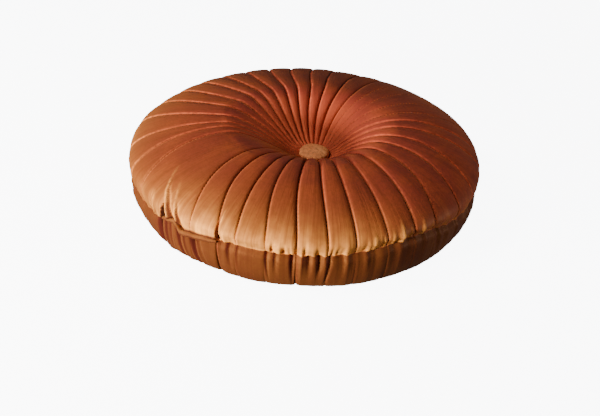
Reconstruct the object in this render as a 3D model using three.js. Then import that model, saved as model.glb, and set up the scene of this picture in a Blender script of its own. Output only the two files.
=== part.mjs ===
// Round pleated velvet cushion, lying flat. Millimetres, +Z up, origin at the centre of its footprint.
// The front of the cushion, where its zip placket is, faces -Y. Angles count from -Y towards +X.
import * as THREE from "three";

// Driving sizes of the filled cushion
const DIAMETER = 350;
const THICKNESS = 80;
const WIDEST_HEIGHT = 47;
const CREST_RADIUS = 88;
const FLAT_RADIUS = 157.5;
const SHOULDER_POWER = 1.85;
const WALL_POWER = 2.6;
const FRONT_CREST_DROP = 1.5;

// The seam between the two panels lies below the widest ring, and lowest at the two sides. It
// steps down at the placket.
const SEAM = [
  { angle: -180, height: 40 },
  { angle: -115, height: 36 },
  { angle: -75, height: 30 },
  { angle: -57, height: 30.5 },
  { angle: -48, height: 34.5 },
  { angle: -43, height: 41 },
  { angle: -39.5, height: 44 },
  { angle: -36.8, height: 36.8 },
  { angle: -33, height: 38.8 },
  { angle: -27, height: 41 },
  { angle: 8, height: 39 },
  { angle: 36, height: 44.5 },
  { angle: 62, height: 34 },
  { angle: 85, height: 31 },
  { angle: 115, height: 36 },
  { angle: 180, height: 40 },
];

// The tuft: a thread between two covered buttons pulls both faces in, a little off centre
const TUFT_X = 9.4;
const SEAT_RADIUS = 14.6;
const HUB_RADIUS = 17.5;
const TOP_SEAT_HEIGHT = 40.5;
const UNDER_SEAT_HEIGHT = 12;
const UNDER_DIP_RADIUS = 62;
const BUTTON_RADIUS = 15;
const BUTTON_RISE = 8.4;
const TOUCH_GAP = 0.3;

// Pleats: the cloth between two stitched pleats puffs out, and each pleat line is a narrow crease
const PUFF_RIM = 1;
const PUFF_CREST = 1.2;
const PUFF_DIP = 2.2;
const CREASE_DEPTH = 2.4;
const CREASE_WIDTH = 2.2;
const SHIFT_POWER = 2.6;
const SHARE_AT_SEAM = 0.55;
const SHARE_REACH = 34;
const SEAM_PINCH = 4;
const TOP_PINCH_REACH = 6;
const UNDER_PINCH_REACH = 3.5;
const UNDER_CREASE_DEPTH = 3;
const PRESSED_SLACK = 0.7;

// One row for each stitched pleat: its angle at the seam, on the crest and at the button, in
// degrees, and how deep it is on the top and below the seam, as a share of the usual depth
const PLEATS = [
  { rim: -173.5, crest: -167.4, hub: -158, top: 1.1, under: 0.4 },
  { rim: -164, crest: -157.6, hub: -148.5, top: 1, under: 0.3 },
  { rim: -153.5, crest: -147.4, hub: -138, top: 1, under: 0.4 },
  { rim: -142.5, crest: -137.4, hub: -128, top: 0.9, under: 0.3 },
  { rim: -132.5, crest: -127.8, hub: -118, top: 1, under: 0.4 },
  { rim: -123, crest: -116.4, hub: -108.5, top: 0.9, under: 0.5 },
  { rim: -112, crest: -104.8, hub: -98, top: 0.9, under: 0.3 },
  { rim: -98.5, crest: -92.6, hub: -86.5, top: 0.8, under: 0.4 },
  { rim: -82.5, crest: -83, hub: -76, top: 0.7, under: 0.5 },
  { rim: -69, crest: -76.5, hub: -67, top: 0.7, under: 0.3 },
  { rim: -59, crest: -69.5, hub: -57.5, top: 0.5, under: 0.4 },
  { rim: -33.7, crest: -42.5, hub: -44, top: 0.7, under: 0.4 },
  { rim: -24.5, crest: -33, hub: -31.5, top: 0.9, under: 1.2 },
  { rim: -18.6, crest: -22.5, hub: -22.5, top: 0.9, under: 0.3 },
  { rim: -9.8, crest: -14.4, hub: -14.5, top: 0.8, under: 0.3 },
  { rim: -0.8, crest: -4.5, hub: -6, top: 1.3, under: 0.9 },
  { rim: 8.1, crest: 6.2, hub: 5, top: 1.2, under: 0.4 },
  { rim: 16.3, crest: 15.9, hub: 19, top: 1.1, under: 0.3 },
  { rim: 26, crest: 26.9, hub: 33.5, top: 1, under: 0.4 },
  { rim: 35.3, crest: 39, hub: 51, top: 1, under: 0.3 },
  { rim: 43.4, crest: 52.5, hub: 66.5, top: 0.9, under: 0.3 },
  { rim: 55.6, crest: 65, hub: 79.5, top: 0.8, under: 0.4 },
  { rim: 66, crest: 76.5, hub: 91, top: 0.8, under: 0.4 },
  { rim: 82, crest: 89.5, hub: 101, top: 0.6, under: 0.3 },
  { rim: 91, crest: 98.5, hub: 111, top: 0.6, under: 0.4 },
  { rim: 102, crest: 107.5, hub: 120.5, top: 0.35, under: 0.3 },
  { rim: 113.5, crest: 118.5, hub: 130, top: 0.3, under: 0.4 },
  { rim: 126, crest: 130, hub: 139, top: 0.3, under: 0.3 },
  { rim: 137.5, crest: 140, hub: 147.5, top: 0.35, under: 0.4 },
  { rim: 148, crest: 148.8, hub: 156.5, top: 0.8, under: 0.3 },
  { rim: 157, crest: 160.6, hub: 168.5, top: 1, under: 0.4 },
  { rim: 168.5, crest: 171.7, hub: 180, top: 1, under: 0.3 },
  { rim: 177.5, crest: 182, hub: 191, top: 1, under: 0.4 },
];

// Slack folds that start at the seam: their angle there and at the far end, in degrees, how far
// they run along the cloth, how deep and how wide they are, and whether they lie on the top
const FOLDS = [
  { foot: -45.5, head: -53, run: 48, depth: 8, width: 4.5, onTop: true },
  { foot: -40.5, head: -46, run: 44, depth: 2.2, width: 4, onTop: true },
  { foot: -50, head: -55, run: 30, depth: 2, width: 4, onTop: true },
  { foot: 11, head: 11.5, run: 24, depth: 2.2, width: 4, onTop: true },
  { foot: -6, head: -7, run: 22, depth: 1.8, width: 4, onTop: true },
  { foot: -45, head: -49, run: 46, depth: 4.5, width: 5, onTop: false },
  { foot: -38.5, head: -39, run: 40, depth: 2.5, width: 5, onTop: false },
  { foot: -31, head: -34, run: 46, depth: 3, width: 5, onTop: false },
  { foot: 7.5, head: 5.5, run: 26, depth: 2.2, width: 5, onTop: false },
];

// The folded edge of the zip placket, from its left end to its right end: the angle, how high
// its top edge is above the seam, how tall it is and how far it stands out from the wall
const LIP = [
  { angle: -45.6, above: 0.6, tall: 3, out: 1.4 },
  { angle: -43.5, above: 0.3, tall: 3.8, out: 2.4 },
  { angle: -40.5, above: 0, tall: 4.2, out: 2.8 },
  { angle: -38.2, above: 0.2, tall: 5.4, out: 3 },
  { angle: -35.5, above: 0.2, tall: 5.6, out: 3.2 },
  { angle: -30.5, above: 0.2, tall: 5, out: 3 },
  { angle: -26.5, above: 0.2, tall: 4.2, out: 2.6 },
  { angle: -24.3, above: 0.2, tall: 2.6, out: 1.4 },
];

// How the surface is divided into rows, from the seam inwards, and each panel into columns
const ROLL_ROWS = [0, 0.4, 1];
const SHOULDER_ROWS = [11, 21, 33, 46, 60, 75, 90];
const DIP_ROWS = [0.85, 0.69, 0.54, 0.39, 0.25, 0.12, 0];
const WALL_ROWS = [0.07, 0.18, 0.36, 0.56, 0.75, 0.89, 0.975, 1];
const UNDER_ROWS = [100, UNDER_DIP_RADIUS, 44, 29, HUB_RADIUS];
const PANEL_COLUMNS = [0, 0.12, 0.37, 0.63, 0.88];
const WIDE_PANEL_COLUMNS = [0, 0.06, 0.16, 0.26, 0.35, 0.43, 0.51, 0.59, 0.67, 0.76, 0.85, 0.94];
const WIDE_PANEL_DEGREES = 20;
const BUTTON_SEGMENTS = 28;
const LIP_STEPS = 21;
const LIP_SECTION_POINTS = 8;
const LIP_BACK_INSET = 1.6;

const RADIUS = DIAMETER / 2;
const SHOULDER_LENGTH = 94;
const lerp = THREE.MathUtils.lerp;
const radians = THREE.MathUtils.degToRad;
const smooth = THREE.MathUtils.smoothstep;

// The seam's height at an angle in radians, eased from one row of SEAM to the next
function seamHeight(angle) {
  const turned = THREE.MathUtils.euclideanModulo(THREE.MathUtils.radToDeg(angle) + 180, 360) - 180;
  const index = SEAM.findIndex((row, i) => i > 0 && turned <= row.angle);
  const [before, after] = [SEAM[index - 1], SEAM[index]];
  return lerp(before.height, after.height, smooth(turned, before.angle, after.angle));
}

function crestHeight(angle) {
  return THICKNESS - (FRONT_CREST_DROP * (1 + Math.cos(angle))) / 2;
}

// A quarter of a superellipse: how far along its two axes it is at an angle in degrees
function quarter(degrees, power) {
  const angle = radians(degrees);
  return [Math.cos(angle) ** (2 / power), Math.sin(angle) ** (2 / power)];
}

// A station is one row of the cushion's surface. At an angle it has a radius, a height, an outward
// normal and a distance along the cloth from the seam.

// The side bulges to its full radius at WIDEST_HEIGHT and curves in to the flat it rests on
function sidePlace(height, angle) {
  const down = 1 - height / WIDEST_HEIGHT;
  const across = (1 - down ** WALL_POWER) ** (1 / WALL_POWER);
  const span = RADIUS - FLAT_RADIUS;
  const outwards = across ** (WALL_POWER - 1) / span;
  const upwards = -(down ** (WALL_POWER - 1)) / WIDEST_HEIGHT;
  const length = Math.hypot(outwards, upwards);
  return {
    radius: FLAT_RADIUS + span * across,
    height,
    normal: [outwards / length, upwards / length],
    fromSeam: Math.abs(height - seamHeight(angle)),
  };
}

// The top panel rolls under between its widest ring and the seam
function rollStation(share) {
  return {
    onTop: true,
    at: (angle) => sidePlace(lerp(seamHeight(angle), WIDEST_HEIGHT, share), angle),
    shift: 0,
    gather: 0,
    puff: PUFF_RIM,
  };
}

function wallStation(share) {
  return {
    onTop: false,
    at: (angle) => sidePlace(seamHeight(angle) * (1 - share), angle),
    puff: PUFF_RIM,
  };
}

function shoulderStation(degrees) {
  const [across, up] = quarter(degrees, SHOULDER_POWER);
  return {
    onTop: true,
    at: (angle) => ({
      radius: lerp(CREST_RADIUS, RADIUS, across),
      height: lerp(WIDEST_HEIGHT, crestHeight(angle), up),
      normal: quarter(degrees, 2),
      fromSeam: WIDEST_HEIGHT - seamHeight(angle) + SHOULDER_LENGTH * (degrees / 90),
    }),
    shift: Math.sin(radians(degrees)) ** SHIFT_POWER,
    gather: 0,
    puff: lerp(PUFF_RIM, PUFF_CREST, up),
  };
}

function dipStation(share) {
  const slope = Math.cos(0.5 * Math.PI * share);
  const length = Math.hypot(1, slope);
  const radius = lerp(HUB_RADIUS, CREST_RADIUS, share);
  const climb = Math.sin(0.5 * Math.PI * share);
  return {
    onTop: true,
    at: (angle) => ({
      radius,
      height: lerp(TOP_SEAT_HEIGHT, crestHeight(angle), climb),
      normal: [-slope / length, 1 / length],
      fromSeam: Infinity,
    }),
    shift: 1,
    gather: 1 - smooth(radius, HUB_RADIUS, CREST_RADIUS),
    puff: lerp(PUFF_DIP, PUFF_CREST, share) * smooth(share, -0.15, 0.25),
  };
}

function underStation(radius) {
  const dip = 1 - smooth(radius, HUB_RADIUS, UNDER_DIP_RADIUS);
  const height = (UNDER_SEAT_HEIGHT - 1) * dip;
  return {
    onTop: false,
    at: () => ({ radius, height, normal: [0, -1], fromSeam: Infinity }),
    puff: PUFF_RIM,
  };
}

// The columns run from pleat to pleat. Each has a place between two neighbouring pleats.
function makeColumns() {
  const columns = [];
  PLEATS.forEach((pleat, index) => {
    const last = index === PLEATS.length - 1;
    const next = last ? PLEATS[0] : PLEATS[index + 1];
    const turn = last ? 360 : 0;
    const wide = next.rim + turn - pleat.rim > WIDE_PANEL_DEGREES;
    for (const share of wide ? WIDE_PANEL_COLUMNS : PANEL_COLUMNS) {
      columns.push({ pleat, next, turn, share });
    }
  });
  return columns;
}

// On the top a pleat leans over as it climbs to the crest, and again as it is drawn in under
// the button
function pleatAngle(pleat, station) {
  if (!station.onTop) return pleat.rim;
  const climbed = lerp(pleat.rim, pleat.crest, station.shift);
  return lerp(climbed, pleat.hub, station.gather);
}

function foldDepth(angle, onTop, place) {
  let depth = 0;
  for (const fold of FOLDS) {
    if (fold.onTop !== onTop || place.fromSeam > fold.run) continue;
    const along = place.fromSeam / fold.run;
    const middle = radians(lerp(fold.foot, fold.head, along));
    const aside = ((angle - middle) * place.radius) / fold.width;
    depth += fold.depth * (1 - along) * Math.exp(-aside * aside);
  }
  return depth;
}

// How far the surface lies inside the cushion's full form: puffs, pleat creases, seam and folds
function drawnIn(column, station, angle, place) {
  const { pleat, next, turn, share } = column;
  const from = pleatAngle(pleat, station);
  const to = pleatAngle(next, station) + turn;
  const width = radians(to - from) * place.radius;
  const side = station.onTop ? "top" : "under";
  const nearest = share < 0.5 ? pleat[side] : next[side];
  const aside = Math.min(share, 1 - share) * width;
  const crease = station.onTop ? CREASE_DEPTH : UNDER_CREASE_DEPTH;
  const crowding = Math.min(1, width / 12);
  const creased = crease * nearest * crowding * Math.exp(-aside / (CREASE_WIDTH * crowding));
  const puffed = station.puff * lerp(pleat[side], next[side], share) * (2 * share - 1) ** 2;
  const grown = lerp(SHARE_AT_SEAM, 1, Math.min(1, place.fromSeam / SHARE_REACH));
  const reach = station.onTop ? TOP_PINCH_REACH : UNDER_PINCH_REACH;
  const pinched = SEAM_PINCH * Math.exp(-((place.fromSeam / reach) ** 1.5));
  return grown * (creased + puffed) + pinched + foldDepth(angle, station.onTop, place);
}

function tuftShift(radius) {
  return TUFT_X * Math.min(1, (RADIUS - radius) / (RADIUS - HUB_RADIUS));
}

function surfacePoint(column, station) {
  const { pleat, next, turn, share } = column;
  const from = pleatAngle(pleat, station);
  const to = pleatAngle(next, station) + turn;
  const angle = radians(lerp(from, to, share));
  const place = station.at(angle);
  const inwards = drawnIn(column, station, angle, place);
  const radius = place.radius - inwards * place.normal[0];
  let height = place.height - inwards * place.normal[1];
  if (!station.onTop) height = Math.max(0, height - PRESSED_SLACK);
  const shift = tuftShift(place.radius);
  return [radius * Math.sin(angle) + shift, -radius * Math.cos(angle), height];
}

// The flat seats of the two buttons, at the ends of the profile
function seatPoint(column, radius, height, place) {
  const { pleat, next, turn, share } = column;
  const angle = radians(lerp(pleat[place], next[place] + turn, share));
  return [radius * Math.sin(angle) + TUFT_X, -radius * Math.cos(angle), height];
}

function cushionGeometry() {
  const columns = makeColumns();
  const stations = [
    ...UNDER_ROWS.map(underStation).reverse(),
    ...WALL_ROWS.map(wallStation).reverse(),
    ...ROLL_ROWS.map(rollStation),
    ...SHOULDER_ROWS.map(shoulderStation),
    ...DIP_ROWS.map(dipStation),
  ];
  const rows = [
    (column) => seatPoint(column, 0, UNDER_SEAT_HEIGHT, "rim"),
    (column) => seatPoint(column, SEAT_RADIUS, UNDER_SEAT_HEIGHT, "rim"),
    ...stations.map((station) => (column) => surfacePoint(column, station)),
    (column) => seatPoint(column, SEAT_RADIUS, TOP_SEAT_HEIGHT, "hub"),
    (column) => seatPoint(column, 0, TOP_SEAT_HEIGHT, "hub"),
  ];
  // The lathe gives the faces, from the underside's centre round to the top's. Its points are
  // then moved to the pleated form.
  const profile = rows.map((_, row) => {
    const turned = (Math.PI * row) / (rows.length - 1);
    return new THREE.Vector2(Math.sin(turned), -Math.cos(turned));
  });
  const geometry = new THREE.LatheGeometry(profile, columns.length);
  const position = geometry.attributes.position;
  for (let i = 0; i <= columns.length; i++) {
    const column = columns[i % columns.length];
    rows.forEach((row, j) => position.setXYZ(i * rows.length + j, ...row(column)));
  }
  geometry.deleteAttribute("normal");
  geometry.deleteAttribute("uv");
  return geometry;
}

// A covered button: a low dome over a flat back, turned about Z
function buttonGeometry() {
  const edge = 0.42 * BUTTON_RISE;
  const profile = [new THREE.Vector2(0, 0), new THREE.Vector2(BUTTON_RADIUS - 1.2, 0)];
  profile.push(new THREE.Vector2(BUTTON_RADIUS, 0.35 * edge));
  for (const degrees of [0, 22, 45, 68]) {
    const [across, up] = quarter(degrees, 2);
    profile.push(new THREE.Vector2(BUTTON_RADIUS * across, lerp(edge, BUTTON_RISE, up)));
  }
  profile.push(new THREE.Vector2(0, BUTTON_RISE));
  return new THREE.LatheGeometry(profile, BUTTON_SEGMENTS).rotateX(Math.PI / 2);
}

// The placket's folded edge at a place between the rows of LIP
function lipRow(place) {
  const index = Math.min(Math.floor(place), LIP.length - 2);
  const share = place - index;
  const row = {};
  for (const key of Object.keys(LIP[0])) {
    row[key] = lerp(LIP[index][key], LIP[index + 1][key], share);
  }
  return row;
}

// A strip of folded cloth that lies on the wall just below the seam, rounded on its outer side
function lipGeometry() {
  const unit = new THREE.Shape();
  unit.moveTo(0, -0.5);
  for (let i = 1; i < LIP_SECTION_POINTS - 1; i++) {
    const turned = -Math.PI / 2 + (Math.PI * i) / (LIP_SECTION_POINTS - 1);
    unit.lineTo(Math.cos(turned), 0.5 * Math.sin(turned));
  }
  unit.lineTo(0, 0.5);
  unit.closePath();
  const settings = { depth: 1, steps: LIP_STEPS, bevelEnabled: false };
  const geometry = new THREE.ExtrudeGeometry(unit, settings);
  const position = geometry.attributes.position;
  for (let i = 0; i < position.count; i++) {
    const row = lipRow((1 - position.getZ(i)) * (LIP.length - 1));
    const angle = radians(row.angle);
    const radius = RADIUS + TOUCH_GAP - LIP_BACK_INSET + row.out * position.getX(i);
    const middle = seamHeight(angle) + row.above - row.tall / 2;
    const height = middle + row.tall * position.getY(i);
    position.setXYZ(i, radius * Math.sin(angle), -radius * Math.cos(angle), height);
  }
  geometry.deleteAttribute("normal");
  geometry.deleteAttribute("uv");
  return geometry;
}

function velvet(color) {
  return new THREE.MeshStandardMaterial({ color, roughness: 0.75, metalness: 0 });
}

const cushion = new THREE.Mesh(cushionGeometry(), velvet("#9c4526"));
cushion.name = "cushion";

const topButton = new THREE.Mesh(buttonGeometry(), velvet("#a9622f"));
topButton.name = "button_top";
topButton.position.set(TUFT_X, 0, TOP_SEAT_HEIGHT + TOUCH_GAP);

const underButton = new THREE.Mesh(buttonGeometry(), velvet("#a9622f"));
underButton.name = "button_under";
underButton.rotation.x = Math.PI;
underButton.position.set(TUFT_X, 0, UNDER_SEAT_HEIGHT - TOUCH_GAP);

const placketLip = new THREE.Mesh(lipGeometry(), velvet("#a4532b"));
placketLip.name = "placket_lip";

const part = new THREE.Group();
part.add(cushion, topButton, underButton, placketLip);

export default part;
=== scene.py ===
import math

import bpy
import numpy as np
from mathutils import Matrix, Vector


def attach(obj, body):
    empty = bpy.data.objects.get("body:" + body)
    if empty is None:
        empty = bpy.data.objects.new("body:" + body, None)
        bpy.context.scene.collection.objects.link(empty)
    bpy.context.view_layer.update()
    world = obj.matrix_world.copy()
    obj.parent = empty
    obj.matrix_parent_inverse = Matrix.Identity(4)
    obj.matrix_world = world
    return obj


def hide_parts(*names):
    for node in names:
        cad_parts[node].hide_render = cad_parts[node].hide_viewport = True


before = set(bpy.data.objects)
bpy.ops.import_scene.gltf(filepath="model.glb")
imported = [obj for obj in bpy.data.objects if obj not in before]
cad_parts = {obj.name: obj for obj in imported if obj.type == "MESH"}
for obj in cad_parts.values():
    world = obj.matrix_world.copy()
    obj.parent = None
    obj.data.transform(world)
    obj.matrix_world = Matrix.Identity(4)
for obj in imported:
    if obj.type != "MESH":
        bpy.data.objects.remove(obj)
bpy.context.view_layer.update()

# Sizes of the filled cushion in millimetres, the same as its solids. Angles are in degrees from
# the front, which faces -Y, towards +X.
DIAMETER = 350
THICKNESS = 80
WIDEST_HEIGHT = 47
CREST_RADIUS = 88
FLAT_RADIUS = 157.5
SHOULDER_POWER = 1.85
WALL_POWER = 2.6
FRONT_CREST_DROP = 1.5
RADIUS = DIAMETER / 2
SHOULDER_LENGTH = 94

# The seam between the two panels: angle and height
SEAM = np.array([
    (-180, 40),
    (-115, 36),
    (-75, 30),
    (-57, 30.5),
    (-48, 34.5),
    (-43, 41),
    (-39.5, 44),
    (-36.8, 36.8),
    (-33, 38.8),
    (-27, 41),
    (8, 39),
    (36, 44.5),
    (62, 34),
    (85, 31),
    (115, 36),
    (180, 40),
])

TUFT_X = 9.4
SEAT_RADIUS = 14.6
HUB_RADIUS = 17.5
TOP_SEAT_HEIGHT = 40.5
UNDER_SEAT_HEIGHT = 12
UNDER_DIP_RADIUS = 62
BUTTON_RADIUS = 15
BUTTON_RISE = 8.4
TOUCH_GAP = 0.3

# Pleats: the cloth between two of them puffs out, and each is stitched down in a narrow crease
PUFF_RIM = 0.8
PUFF_CREST = 0.8
PUFF_DIP = 2.8
PUFF_POWER = 2.2
CREASE_DEPTH = 2.3
CREASE_WIDTH = 0.9
SHIFT_POWER = 2.6
SHARE_AT_SEAM = 0.45
SHARE_REACH = 30
SEAM_PINCH = 4
TOP_PINCH_REACH = 6
UNDER_PINCH_REACH = 3.5
UNDER_CREASE_DEPTH = 3
NO_SEAM_NEAR = 999
CROWDED_WIDTH = 12
CROWDING_RISE = 2
CROWDING_RADIUS = 18.5
CROWDING_REACH = 4

# Painted light and shade on folds and gathers: a painted highlight on slopes that face left,
# towards the light, and painted shade on those that face right. How strongly for folds and for
# gathers, how much more shade below the seam, and the highlight's share there
SLOPE_PAINT = 1.1
GATHER_PAINT_SHARE = 0.55
WALL_SHADE_PAINT = 1.7
WALL_GLOW = 0.07

# How dark the painted shade gets on a slope, in a hollow and in a pleat's crease, between which
# depths a fold turns into a hollow, how high a ridge is where its painted highlight is full, and
# how bright that highlight gets at most
SLOPE_SHADE = 1.2
HOLLOW = 2
CREASE_SHADE = 0.82
DARK_DEPTH = (1.6, 3.8)
RIDGE_GLOW = 1.6
RIDGE_BRIGHTEST = 0.75

# Slack folds bend along their length, get narrower and fade out
FOLD_BEND = 1.7
FOLD_TAPER = 0.55
FOLD_FADE = 1.2

# Above the placket the seam is hardly pinched or gathered: the angles where that starts and
# ends, and how much is taken off. A line of painted shade lies there: its angles, strength and
# reach
LIP_RANGE = (-51, -48, -26, -23)
LIP_HOLD = 0.8
LIP_LINE = (-47, -45, -25.5, -24)
LIP_LINE_SHADE = 1.6
LIP_LINE_REACH = 2.6

# Small gathers beside the seam: how deep they are and how far they run on each panel. Their
# waves and the slower ones that make them uneven: seed, fewest and most round the cushion, and
# how many are summed
TOP_GATHERS = (3.4, 11)
WALL_GATHERS = (4, 15)
GATHER_WAVES = (3, 55, 125, 9)
GATHER_SWELLS = (11, 3, 14, 4)
GATHER_MEAN = 0.6

# Long soft waves in the slack cloth: their numbers as for the gathers, how deep they are and how
# far from the seam they are full
SLACK_WAVES = (5, 5, 16, 5)
SLACK_DEPTH = 0.9
SLACK_REACH = 30

# The cover's swelling: pressure, mass, stiffness against pulling, shearing and bending, extra
# cloth near the seam as a share and how far it reaches, steps, and how far a point may move
PRESSURE = 3
CLOTH_MASS = 0.3
PULLING = 15
SHEARING = 5
BENDING = 1
EXTRA_AT_SEAM = 0.05
EXTRA_REACH = 16
SWELL_FRAMES = 16
SWELL_CAP = 4

# The lower panel is pressed flat where it would lie less than this above the ground
PRESSED_SLACK = 0.7

# The rim has a painted highlight round this angle. It fades between these angles to both sides
# of it, down to a least value, and this far from the seam
RIM_HIGHLIGHT_MIDDLE = -15
RIM_HIGHLIGHT_FADE = (18, 52)
RIM_HIGHLIGHT_LEAST = 0.12
RIM_HIGHLIGHT_REACH = 26

# A second, weaker painted highlight on the rim at the left: its angle, strength and width
LEFT_HIGHLIGHT_ANGLE = -92
LEFT_HIGHLIGHT_SHARE = 0.45
LEFT_HIGHLIGHT_WIDTH = 16

# A pale line lies this far beside a pleat's crease, and this wide: pile opened on the fold, and a
# painted highlight, brighter on the wall of the crease that faces the light, which is its right
# one between these angles, and weaker in front and below the seam. Near the seam at the front
# left it gets more painted highlight
EDGE_ASIDE = 1.4
EDGE_WIDTH = 0.65
EDGE_LEAST = 0.15
EDGE_TURNS = (-85, -45, 115, 150)
EDGE_IN_FRONT = 0.35
FRONT_RANGE = (-60, -20, 40, 80)
EDGE_ON_WALL = 0.2
GLOW_REACH = 48
GLOW_MIDDLE = -60
GLOW_FADE = (60, 110)

# Ridges get a painted highlight away from the front, where the rim has its own: the front's
# middle, and where the ridges' highlight starts to both sides
RIDGE_MIDDLE = -13
RIDGE_START = (25, 31)

# The lit front left of the shoulder has a painted gold sheen, weaker below the seam. It fades
# this far from the seam and to both sides of this angle
GOLDEN_REACH = 70
GOLDEN_MIDDLE = -55
GOLDEN_FADE = (50, 115)
GOLDEN_ON_WALL = 0.3

# The far side of the dip gets painted light, less at one place on the right, and the crest and
# shoulder behind it painted shade: their radii and angles
DIP_FADE = (30, 85)
DIP_DULL_ANGLE = 118
DIP_DULL_WIDTH = 28
DIP_DULL_SHARE = 0.45
FAR_ANGLES = (115, 160)
FAR_RADII = (62, 92)

# The notch above the left end of the placket, where the cloth gapes: its angle, half its width
# at the seam, how far it runs up and how deep it is. Across it, as shares of half its width, its
# sides slope and its painted shade ends between these, and on the right side the painted shade
# ends this much sooner
NOTCH_ANGLE = -45
NOTCH_HALF = 5
NOTCH_RUN = 24
NOTCH_DEPTH = 3
NOTCH_SLOPE = (0.7, 1.2)
NOTCH_DARK = (1.05, 1.3)
NOTCH_LIT = 0.25

# Columns of the cover's mesh on each panel between two pleats: on a wide one, which spans more
# than so many degrees, on those within this angle of the front, and on the others
WIDE_PANEL = 20
FRONT_REACH = 60
WIDE_COLUMNS = 110
FRONT_COLUMNS = 30
OTHER_COLUMNS = 14

# Stitches along the pleats: length, pitch, thickness, and how far from the seam and the button
STITCH = 2.6
STITCH_PITCH = 3.7
THREAD = 0.55
STITCH_FREE = 5

# Each stitched pleat: its angle at the seam, on the crest and at the button, and how deep it is
# on the top and below the seam, as a share of the usual depth
PLEATS = np.array([
    (-173.5, -167.4, -158, 1.1, 0.2),
    (-164, -157.6, -148.5, 1, 0.2),
    (-153.5, -147.4, -138, 1, 0.2),
    (-142.5, -137.4, -128, 0.9, 0.2),
    (-132.5, -127.8, -118, 1, 0.2),
    (-123, -116.4, -108.5, 0.9, 0.3),
    (-112, -104.8, -98, 0.9, 0.2),
    (-98.5, -92.6, -86.5, 0.8, 0.25),
    (-82.5, -83, -76, 0.7, 0.3),
    (-69, -76.5, -67, 0.7, 0.2),
    (-59, -69.5, -57.5, 0.5, 0.25),
    (-33.7, -42.5, -44, 0.7, 0.2),
    (-24.5, -33, -31.5, 0.9, 1.1),
    (-18.6, -22.5, -22.5, 0.9, 0.2),
    (-9.8, -14.4, -14.5, 0.8, 0.2),
    (-0.8, -4.5, -6, 1.3, 0.5),
    (8.1, 6.2, 5, 1.2, 0.25),
    (16.3, 15.9, 19, 1.1, 0.15),
    (26, 26.9, 33.5, 1, 0.2),
    (35.3, 39, 51, 1, 0.15),
    (43.4, 52.5, 66.5, 0.9, 0.2),
    (55.6, 65, 79.5, 0.8, 0.2),
    (66, 76.5, 91, 0.8, 0.2),
    (82, 89.5, 101, 0.6, 0.15),
    (91, 98.5, 111, 0.6, 0.2),
    (102, 107.5, 120.5, 0.16, 0.15),
    (113.5, 118.5, 130, 0.12, 0.2),
    (126, 130, 139, 0.12, 0.15),
    (137.5, 140, 147.5, 0.16, 0.2),
    (148, 148.8, 156.5, 0.75, 0.2),
    (157, 160.6, 168.5, 1, 0.2),
    (168.5, 171.7, 180, 1, 0.2),
    (177.5, 182, 191, 1, 0.2),
])
RIM, CREST, HUB, TOP_SHARE, UNDER_SHARE = range(5)

# Slack folds that start at the seam: angle there, angle at the far end, length along the cloth,
# depth (a ridge where it is negative) and width
TOP_FOLDS = [
    (-42.6, -54.4, 68, -2.8, 1.8),
    (-41.1, -52.2, 60, 3, 1.7),
    (-49.8, -51.2, 34, -2.4, 1.8),
    (-51.4, -53, 36, 1.8, 1.8),
    (-38.9, -46.6, 54, -2.2, 1.8),
    (-37.4, -44.4, 40, 1.8, 1.7),
    (-36.6, -42.5, 26, 1.2, 2),
    (-24.3, -24.9, 44, 4.4, 1.7),
    (-22.2, -23, 28, -1.4, 2.2),
    (-7.8, -7.2, 24, 3, 1.5),
    (-6, -5.8, 24, -1.4, 1.5),
    (-4.4, -4.6, 22, 2.8, 1.4),
    (-2.6, -2.8, 18, 1.8, 1.3),
    (1.6, 1.8, 26, 2.4, 1.6),
    (5.2, 5.2, 21, 1.5, 1.7),
    (9.4, 9.6, 16, 1.4, 1.4),
    (10.9, 11.2, 16, 1.3, 1.4),
    (12.5, 12.9, 16, 1.2, 1.4),
    (19.2, 19.4, 26, 1.8, 1.8),
    (22, 22, 34, -2.4, 2.3),
    (24.4, 24.6, 24, 2, 1.6),
    (28, 28.4, 26, -1.8, 1.8),
    (31, 31.6, 34, -2.4, 2.4),
    (33.4, 34, 22, 1.8, 1.7),
    (38.4, 39.4, 26, -2.2, 2.2),
    (41.4, 42.4, 20, 1.4, 1.8),
]
WALL_FOLDS = [
    (-46.8, -48.5, 70, 5.5, 3),
    (-43.6, -44.6, 60, -2.4, 2),
    (-41.4, -42, 50, 2, 1.6),
    (-38.4, -36.2, 60, 3.4, 2.2),
    (-36.4, -34.6, 50, -1.6, 2),
    (-32.8, -28.4, 70, 4.2, 2.4),
    (-30.6, -26.8, 50, 2.2, 2),
    (-20.6, -19.8, 30, 1.6, 2),
    (-17.8, -17.6, 26, 1.4, 2),
    (-9.2, -8.4, 34, 2.4, 1.8),
    (-6.6, -6.4, 28, 2.2, 1.6),
    (-1.9, -1.7, 38, 3.4, 2.2),
    (0.6, 0.6, 34, -1.6, 1.8),
    (3, 2.8, 26, 2, 1.8),
    (6, 5.2, 28, 2.4, 1.8),
    (8.8, 7, 38, 2.6, 2),
    (12.8, 12.4, 26, 1.6, 1.8),
    (20.5, 20.5, 26, 1.8, 2),
    (45, 47, 44, 1.8, 3),
]

# The folded edge of the zip placket: angle, top edge above the seam, height and how far it
# stands out, from its left end to its right end. Its flat back lies this far inside the side,
# and its front is uneven by waves with numbers as for the gathers
LIP = np.array([
    (-45.6, 0.6, 3, 1.4),
    (-43.5, 0.3, 3.8, 2.4),
    (-40.5, 0, 4.2, 2.8),
    (-38.2, 0.2, 5.4, 3),
    (-35.5, 0.2, 5.6, 3.2),
    (-30.5, 0.2, 5, 3),
    (-26.5, 0.2, 4.2, 2.6),
    (-24.3, 0.2, 2.6, 1.4),
])
LIP_BACK_INSET = 1.6
LIP_WAVES = (8, 60, 160, 5)
LIP_UNEVEN = 0.12


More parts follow.
